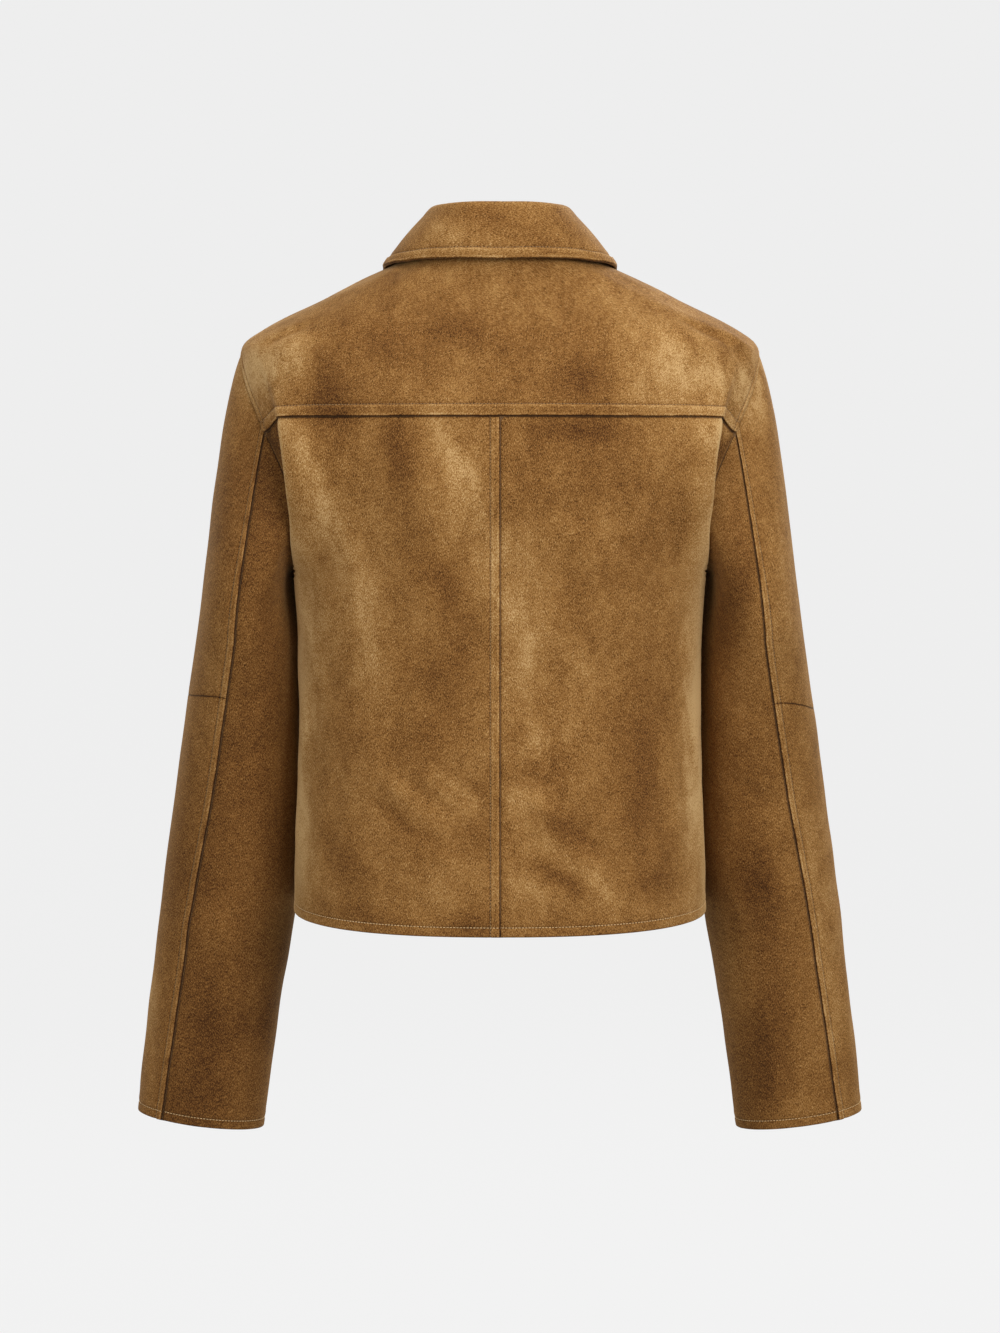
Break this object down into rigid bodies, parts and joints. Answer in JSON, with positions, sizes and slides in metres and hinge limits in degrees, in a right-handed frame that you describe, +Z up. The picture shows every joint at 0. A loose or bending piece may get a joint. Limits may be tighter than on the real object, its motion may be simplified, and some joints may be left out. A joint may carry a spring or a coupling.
{
  "type": "suede jacket",
  "caption": "Cropped suede jacket with a turned-down collar, a back yoke, seamed sleeves and a buttoned front, open and hollow as when worn.",
  "frame": {"origin": "midway between the shoulders, level with the side of the neck, where the wearer's shoulders hold it", "axes": "+Z up, the front faces -Y, and the wearer's left is +X"},
  "size_m": [0.6068, 0.2545, 0.7631],
  "materials": {
    "suede": "tan suede with a short soft nap, brushed in lighter and darker patches, with no gloss",
    "button": "dark brown horn-like plastic with a soft gloss"
  },
  "bodies": {
    "root": {"back_left": "suede", "back_right": "suede", "yoke": "suede", "front_left": "suede", "front_right": "suede", "collar": "suede", "sleeve_left_top_upper": "suede", "sleeve_left_top_lower": "suede", "sleeve_left_under": "suede", "sleeve_right_top_upper": "suede", "sleeve_right_top_lower": "suede", "sleeve_right_under": "suede", "button_1": "button", "button_2": "button", "button_3": "button", "button_4": "button", "button_5": "button", "button_6": "button"}
  },
  "joints": []
}
